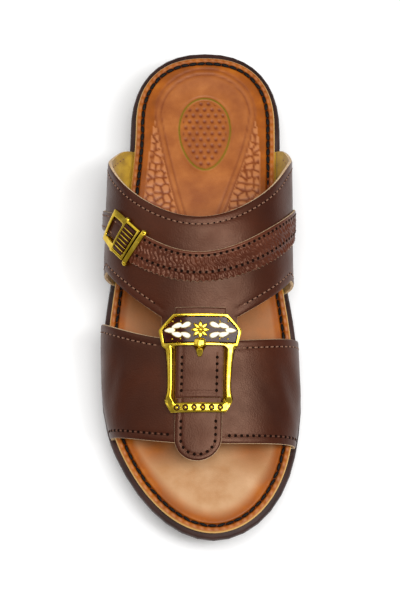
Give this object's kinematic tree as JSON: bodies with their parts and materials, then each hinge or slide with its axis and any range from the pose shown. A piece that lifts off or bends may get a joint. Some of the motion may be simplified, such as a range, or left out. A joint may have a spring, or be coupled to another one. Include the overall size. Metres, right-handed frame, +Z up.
{
  "type": "slip-on sandal",
  "caption": "Open-toe, open-back leather sandal for the right foot: two joined straps, a buckled tab, a trim strip, a cupped insole and a moulded sole.",
  "frame": {"origin": "on the floor under the middle of the heel's tread", "axes": "+Z up, +Y from the toe to the heel, +X to the medial side"},
  "size_m": [0.1103, 0.286, 0.0801],
  "materials": {
    "sole_rubber": "matte moulded",
    "insole_leather": "smooth, satin",
    "upper_leather": "fine grain, satin",
    "embossed_leather": "embossed",
    "gilt_metal": "polished, plated",
    "dark_enamel": "glossy"
  },
  "bodies": {
    "root": {"sole": "sole_rubber", "insole": "insole_leather", "upper": "upper_leather", "tab": "upper_leather", "trim_strip": "embossed_leather", "side_strap": "upper_leather", "buckle_frame": "gilt_metal", "buckle_enamel": "dark_enamel", "buckle_prong": "gilt_metal", "side_buckle_frame": "gilt_metal", "side_buckle_plate": "dark_enamel", "side_keeper": "gilt_metal"}
  },
  "joints": []
}
